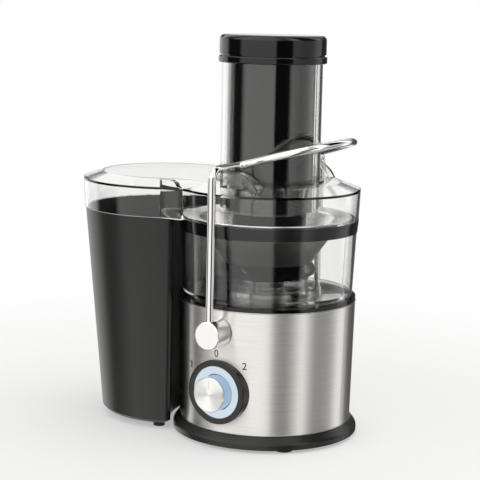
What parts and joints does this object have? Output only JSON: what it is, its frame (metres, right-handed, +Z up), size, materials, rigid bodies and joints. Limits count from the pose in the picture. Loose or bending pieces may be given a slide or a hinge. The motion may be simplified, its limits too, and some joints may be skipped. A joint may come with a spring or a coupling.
{
  "type": "centrifugal juicer",
  "caption": "Countertop centrifugal juicer with a steel motor base, clear bowl and lid, wide feed tube with pusher, pulp container and swinging locking arm.",
  "frame": {"origin": "on the table under the middle of the juicer's outline", "axes": "+Z up; +X from the pulp container to the bowl; the control knob faces -Y"},
  "size_m": [0.2899, 0.2114, 0.38],
  "materials": {
    "black_abs": "satin moulded black ABS",
    "gloss_black": "polished black ABS",
    "brushed_steel": "stainless, brushed round the base",
    "basket_steel": "stainless sheet",
    "bright_steel": "turned and plated steel",
    "chrome": "polished chrome plate",
    "clear_plastic": "polished clear copolyester",
    "rubber": "moulded rubber",
    "lamination": "stacked electrical steel",
    "copper": "enamelled copper",
    "diecast": "die-cast",
    "knob_silver": "spun aluminium",
    "lamp_blue": "translucent, lit from behind",
    "switch_plastic": "moulded nylon",
    "board": "printed circuit board",
    "carbon": "pressed carbon"
  },
  "bodies": {
    "base": {"base_skirt": "black_abs", "rubber_feet": "rubber", "base_screws": "bright_steel", "motor_housing": "black_abs", "steel_sleeve": "brushed_steel", "motor_deck": "black_abs", "shaft_seal": "rubber", "upper_bracket": "diecast", "lower_bracket": "diecast", "upper_bearing": "bright_steel", "lower_bearing": "bright_steel", "motor_stator": "lamination", "field_windings": "copper", "brush_holders": "switch_plastic", "carbon_brushes": "carbon", "rotary_switch": "switch_plastic", "light_board": "board", "light_ring": "lamp_blue", "knob_bezel": "gloss_black", "pivot_pin_front": "bright_steel", "pivot_pin_rear": "bright_steel", "interlock_switch": "switch_plastic", "cord_gland": "rubber", "juice_bowl": "clear_plastic", "bowl_collar": "gloss_black", "lid": "clear_plastic", "feed_tube": "clear_plastic"},
    "drive": {"motor_shaft": "bright_steel", "motor_rotor": "lamination", "commutator": "copper", "cooling_fan": "switch_plastic", "drive_coupling": "bright_steel", "filter_hub": "black_abs", "filter_mesh": "basket_steel", "filter_rim": "basket_steel", "grater_disc": "basket_steel"},
    "arm": {"locking_arm": "chrome", "arm_hub_front": "chrome", "arm_hub_rear": "chrome"},
    "knob": {"switch_spindle": "bright_steel", "speed_knob": "knob_silver", "knob_cap": "knob_silver"},
    "pusher": {"pusher_body": "gloss_black", "pusher_cap": "gloss_black"},
    "container": {"pulp_container": "black_abs", "container_feet": "rubber"}
  },
  "joints": [
    {"name": "arm_swing", "type": "hinge", "parent": "base", "child": "arm", "pos_m": [0.05575, 0, 0.11], "axis": [0, 1, 0], "range_deg": [0, 90]},
    {"name": "knob_turn", "type": "hinge", "parent": "base", "child": "knob", "pos_m": [0.05575, -0.095, 0.0536], "axis": [0, -1, 0], "range_deg": [-50, 50]},
    {"name": "pusher_lift", "type": "slide", "parent": "base", "child": "pusher", "axis": [0, 0, 1], "range_m": [0, 0.2]},
    {"name": "drive_spin", "type": "hinge", "parent": "base", "child": "drive", "pos_m": [0.05575, 0, 0.12], "axis": [0, 0, 1], "continuous": true},
    {"name": "container_pull", "type": "slide", "parent": "base", "child": "container", "axis": [-1, 0, 0], "range_m": [0, 0.12]}
  ]
}
